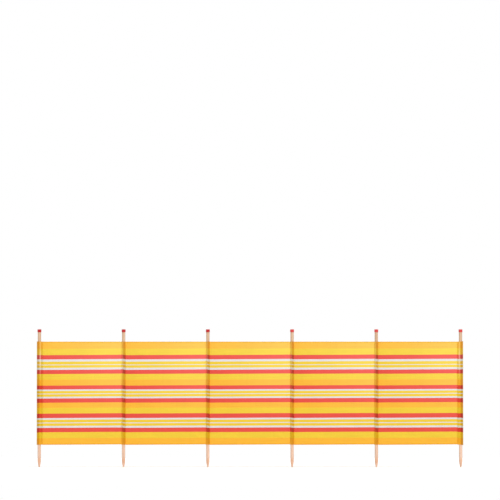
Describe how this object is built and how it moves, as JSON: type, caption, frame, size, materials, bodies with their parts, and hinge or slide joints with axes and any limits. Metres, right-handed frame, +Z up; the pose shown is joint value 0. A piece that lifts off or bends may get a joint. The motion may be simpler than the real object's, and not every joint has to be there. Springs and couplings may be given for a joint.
{
  "type": "beach windbreak",
  "caption": "Striped fabric windbreak that runs on in bays between round wooden poles with pointed feet and plastic caps, and folds at the poles like a concertina.",
  "frame": {"origin": "centre of the blunt tip under the left end pole", "axes": "+X along the open windbreak to the right end pole, +Z up the poles, front face towards -Y"},
  "size_m": [3.7118, 0.0342, 1.2],
  "materials": {
    "pole_wood": "sanded, bare",
    "cap_plastic": "glossy",
    "striped_fabric": "woven, slight sheen"
  },
  "bodies": {
    "bay_1": {"pole_1": "pole_wood", "cap_1": "cap_plastic", "pocket_1": "striped_fabric", "panel_1": "striped_fabric", "pole_2": "pole_wood", "cap_2": "cap_plastic", "pocket_2": "striped_fabric"},
    "bay_2": {"panel_2": "striped_fabric", "pole_3": "pole_wood", "cap_3": "cap_plastic", "pocket_3": "striped_fabric"},
    "bay_3": {"panel_3": "striped_fabric", "pole_4": "pole_wood", "cap_4": "cap_plastic", "pocket_4": "striped_fabric"},
    "bay_4": {"panel_4": "striped_fabric", "pole_5": "pole_wood", "cap_5": "cap_plastic", "pocket_5": "striped_fabric"},
    "bay_5": {"panel_5": "striped_fabric", "pole_6": "pole_wood", "cap_6": "cap_plastic", "pocket_6": "striped_fabric"}
  },
  "joints": [
    {"name": "fold_at_pole_2", "type": "hinge", "parent": "bay_1", "child": "bay_2", "pos_m": [0.733, 0, 0], "axis": [0, 0, 1], "range_deg": [-175, 175]},
    {"name": "fold_at_pole_3", "type": "hinge", "parent": "bay_2", "child": "bay_3", "pos_m": [1.466, 0, 0], "axis": [0, 0, -1], "range_deg": [-175, 175]},
    {"name": "fold_at_pole_4", "type": "hinge", "parent": "bay_3", "child": "bay_4", "pos_m": [2.199, 0, 0], "axis": [0, 0, 1], "range_deg": [-175, 175]},
    {"name": "fold_at_pole_5", "type": "hinge", "parent": "bay_4", "child": "bay_5", "pos_m": [2.932, 0, 0], "axis": [0, 0, -1], "range_deg": [-175, 175]}
  ],
  "couplings": [
    {"joint": "fold_at_pole_3", "follows": "fold_at_pole_2", "ratio": 1},
    {"joint": "fold_at_pole_4", "follows": "fold_at_pole_2", "ratio": 1},
    {"joint": "fold_at_pole_5", "follows": "fold_at_pole_2", "ratio": 1}
  ]
}
